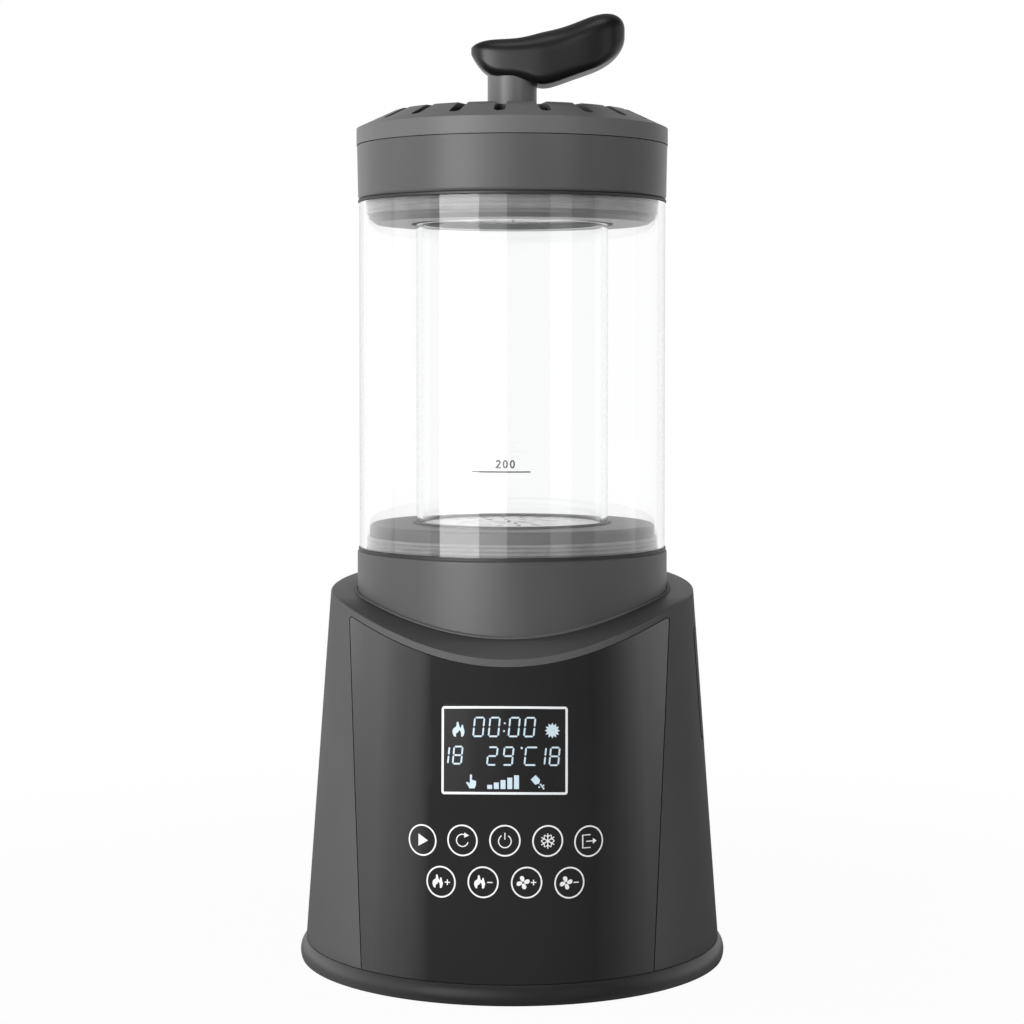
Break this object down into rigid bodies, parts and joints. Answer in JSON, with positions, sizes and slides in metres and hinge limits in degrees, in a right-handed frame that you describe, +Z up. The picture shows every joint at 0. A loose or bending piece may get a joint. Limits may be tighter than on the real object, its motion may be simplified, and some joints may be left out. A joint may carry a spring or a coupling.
{
  "type": "coffee roaster",
  "caption": "Tapered hot-air coffee roaster: curved control panel, double-walled glass chamber that lifts out, plug lid with a slotted vent cap and a lever-shaped grip.",
  "frame": {"origin": "on the floor, under the middle of the four feet", "axes": "+Z up along the roaster's axis, -Y out of the front panel, +X to the side cover"},
  "size_m": [0.181, 0.181, 0.4011],
  "materials": {
    "shell_plastic": "fine satin dark grey",
    "panel_gloss": "glossy black grey",
    "bezel_light": "pale satin",
    "display_lens": "glossy black",
    "display_module": "gloss",
    "circuit_board": "green laminate",
    "screw_steel": "zinc plated",
    "pad_rubber": "soft",
    "tray_plastic": "fine satin dark grey",
    "foot_rubber": "matt",
    "blower_plastic": "moulded",
    "motor_steel": "drawn",
    "duct_steel": "drawn stainless",
    "mica": "matt",
    "ribbon_alloy": "oxidised",
    "cutout_ceramic": "matt",
    "relay_plastic": "moulded",
    "capacitor_plastic": "moulded",
    "inlet_plastic": "moulded",
    "pin_metal": "nickel plated",
    "socket_plastic": "fine satin dark grey",
    "collar_plastic": "satin dark grey",
    "seal_rubber": "soft silicone",
    "gasket_rubber": "soft silicone",
    "clear_glass": "clear borosilicate",
    "lid_plastic": "satin dark grey",
    "post_satin": "satin grey",
    "grip_gloss": "glossy near black"
  },
  "bodies": {
    "base": {"outer_shell": "shell_plastic", "front_panel": "panel_gloss", "display_bezel": "bezel_light", "display_window": "display_lens", "display_module": "display_module", "control_board": "circuit_board", "board_screws": "screw_steel", "touch_pads": "pad_rubber", "base_tray": "tray_plastic", "tray_screws": "screw_steel", "foot_1": "foot_rubber", "foot_2": "foot_rubber", "foot_3": "foot_rubber", "foot_4": "foot_rubber", "blower_housing": "blower_plastic", "fan_motor": "motor_steel", "heater_duct": "duct_steel", "duct_screws": "screw_steel", "heater_frame": "mica", "heater_coil": "ribbon_alloy", "thermal_cutout": "cutout_ceramic", "temperature_probe": "duct_steel", "power_board": "circuit_board", "power_relay": "relay_plastic", "filter_capacitor": "capacitor_plastic", "power_inlet": "inlet_plastic", "inlet_pins": "pin_metal", "chamber_socket": "socket_plastic", "socket_screws": "screw_steel"},
    "fan": {"impeller": "blower_plastic", "motor_shaft": "motor_steel"},
    "chamber": {"jar_base": "collar_plastic", "jar_seal": "seal_rubber", "jar_gasket": "gasket_rubber", "outer_glass": "clear_glass", "inner_glass": "clear_glass", "air_plate": "duct_steel", "air_sleeve": "duct_steel"},
    "lid": {"lid_body": "lid_plastic", "lid_seal": "seal_rubber", "lid_gasket": "gasket_rubber", "chaff_screen": "duct_steel"},
    "cap": {"vent_cap": "lid_plastic", "handle_post": "post_satin", "handle_grip": "grip_gloss", "handle_screw": "screw_steel"},
    "cover": {"side_cover": "shell_plastic"}
  },
  "joints": [
    {"name": "fan_spin", "type": "hinge", "parent": "base", "child": "fan", "pos_m": [0, 0, 0.04], "axis": [0, 0, 1], "continuous": true},
    {"name": "chamber_lift", "type": "slide", "parent": "base", "child": "chamber", "axis": [0, 0, 1], "range_m": [0, 0.06]},
    {"name": "lid_lift", "type": "slide", "parent": "chamber", "child": "lid", "axis": [0, 0, 1], "range_m": [0, 0.04]},
    {"name": "cap_twist", "type": "hinge", "parent": "lid", "child": "cap", "pos_m": [0, 0, 0.345], "axis": [0, 0, 1], "range_deg": [0, 45]},
    {"name": "cover_pull", "type": "slide", "parent": "base", "child": "cover", "axis": [1, 0, 0], "range_m": [0, 0.02]}
  ]
}
